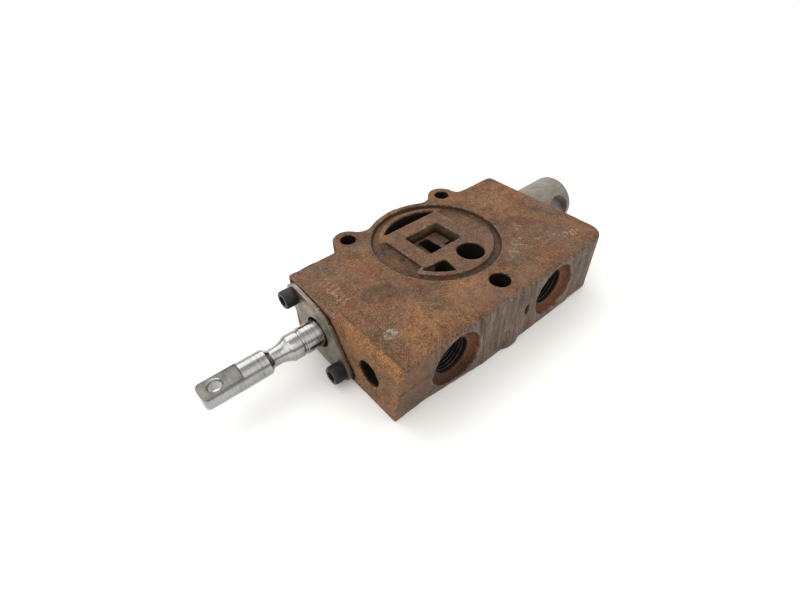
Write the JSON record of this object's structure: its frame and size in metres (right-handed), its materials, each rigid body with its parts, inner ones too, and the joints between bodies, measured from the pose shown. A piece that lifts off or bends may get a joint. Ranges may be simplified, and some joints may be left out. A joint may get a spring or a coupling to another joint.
{
  "type": "hydraulic directional valve work section",
  "caption": "Rusty cast-iron section of a stacked hydraulic spool valve, with a chromed spool and flat tang, two threaded work ports and a round seal groove.",
  "frame": {"origin": "centre of the assembly's bounding box, on the plane of the section's back mating face", "axes": "+X along the spool, from its tang towards the spring cap; +Z square to the mating faces, towards the seal groove; -Y out of the work ports"},
  "size_m": [0.3106, 0.1244, 0.0452],
  "materials": {
    "rusty_cast_iron": "rough casting with brown and orange rust",
    "spool_chrome": "ground and hard-chromed",
    "retainer_steel": "dull plated",
    "black_oxide": "black oxide",
    "cap_alloy": "satin, lightly stained",
    "nitrile": "matte",
    "plain_steel": "turned",
    "spring_wire": "drawn wire"
  },
  "bodies": {
    "section": {"section_body": "rusty_cast_iron", "front_wiper_ring": "nitrile", "front_backup_washer": "plain_steel", "front_spool_seal": "nitrile", "front_retainer_plate": "retainer_steel", "plate_screw_upper": "black_oxide", "plate_screw_lower": "black_oxide", "rear_spool_seal": "nitrile", "rear_backup_washer": "plain_steel", "spring_cap": "cap_alloy", "cap_face_seal": "nitrile", "cap_screw_left": "black_oxide", "cap_screw_right": "black_oxide", "lock_washer_left": "plain_steel", "lock_washer_right": "plain_steel", "centering_spring": "spring_wire"},
    "front_seat": {"spring_seat_front": "plain_steel"},
    "spool": {"control_spool": "spool_chrome", "spool_end_bolt": "plain_steel"},
    "rear_seat": {"spring_seat_rear": "plain_steel"}
  },
  "joints": [
    {"name": "spool_push", "type": "slide", "parent": "section", "child": "front_seat", "axis": [1, 0, 0], "range_m": [0, 0.007], "stiffness_N_per_m": 6000, "springref_m": -0.008, "deforming": ["centering_spring"]},
    {"name": "spool_pull", "type": "slide", "parent": "front_seat", "child": "spool", "axis": [1, 0, 0], "range_m": [-0.007, 0], "stiffness_N_per_m": 6000, "springref_m": 0.008, "deforming": ["centering_spring"]},
    {"name": "rear_seat_slide", "type": "slide", "parent": "section", "child": "rear_seat", "axis": [1, 0, 0], "range_m": [-0.007, 0]}
  ],
  "couplings": [
    {"joint": "rear_seat_slide", "follows": "spool_pull", "ratio": 1}
  ]
}
